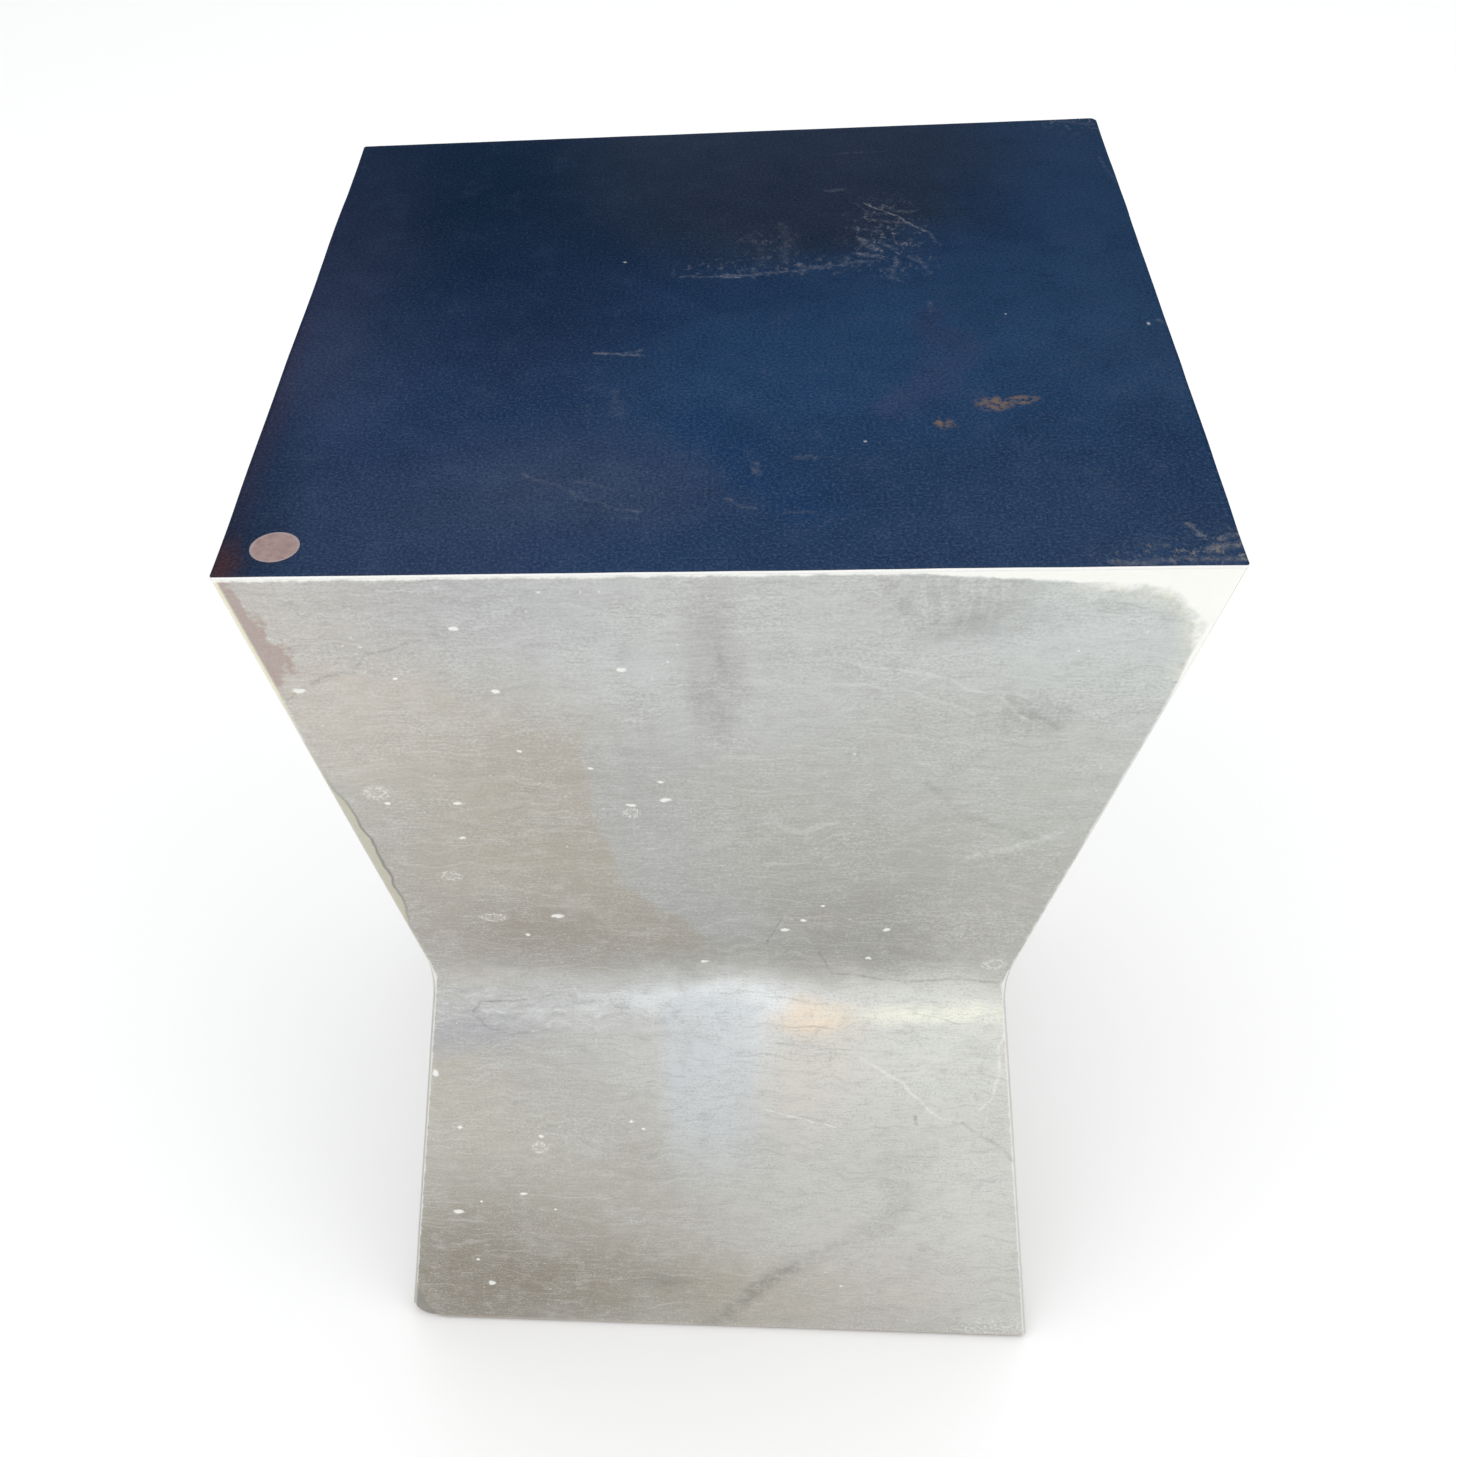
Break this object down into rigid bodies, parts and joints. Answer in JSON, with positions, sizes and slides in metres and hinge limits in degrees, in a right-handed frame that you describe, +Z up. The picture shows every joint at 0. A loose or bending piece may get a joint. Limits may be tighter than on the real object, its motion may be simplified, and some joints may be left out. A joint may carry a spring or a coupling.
{
  "type": "side table",
  "caption": "Square hourglass side table: bent aluminium sheets lean in to a soft waist and out to the base, under a flat polished top.",
  "frame": {"origin": "centre of the footprint, on the floor", "axes": "+Z up, the front sheet faces -Y, +X is the right of someone who stands in front"},
  "size_m": [0.4, 0.4, 0.6001],
  "materials": {
    "polished_top": "polished, reads deep blue, lightly scuffed",
    "satin_sides": "worn satin, fine level brushing, tarnished",
    "plywood": "raw birch plywood",
    "softwood": "planed softwood",
    "beech": "plain dowel",
    "steel": "zinc plated",
    "glide_plastic": "moulded",
    "label_paper": "matte paper"
  },
  "bodies": {
    "root": {"top_plate": "polished_top", "front_panel": "satin_sides", "rear_panel": "satin_sides", "left_panel": "satin_sides", "right_panel": "satin_sides", "top_board": "plywood", "waist_board": "plywood", "base_board": "plywood", "upper_batten_front_left": "softwood", "upper_batten_front_right": "softwood", "upper_batten_rear_left": "softwood", "upper_batten_rear_right": "softwood", "lower_batten_front_left": "softwood", "lower_batten_front_right": "softwood", "lower_batten_rear_left": "softwood", "lower_batten_rear_right": "softwood", "top_board_screws": "steel", "base_board_screws": "steel", "glide_nails": "steel", "waist_dowels": "beech", "glide_front_left": "glide_plastic", "glide_front_right": "glide_plastic", "glide_rear_left": "glide_plastic", "glide_rear_right": "glide_plastic", "price_label": "label_paper"}
  },
  "joints": []
}
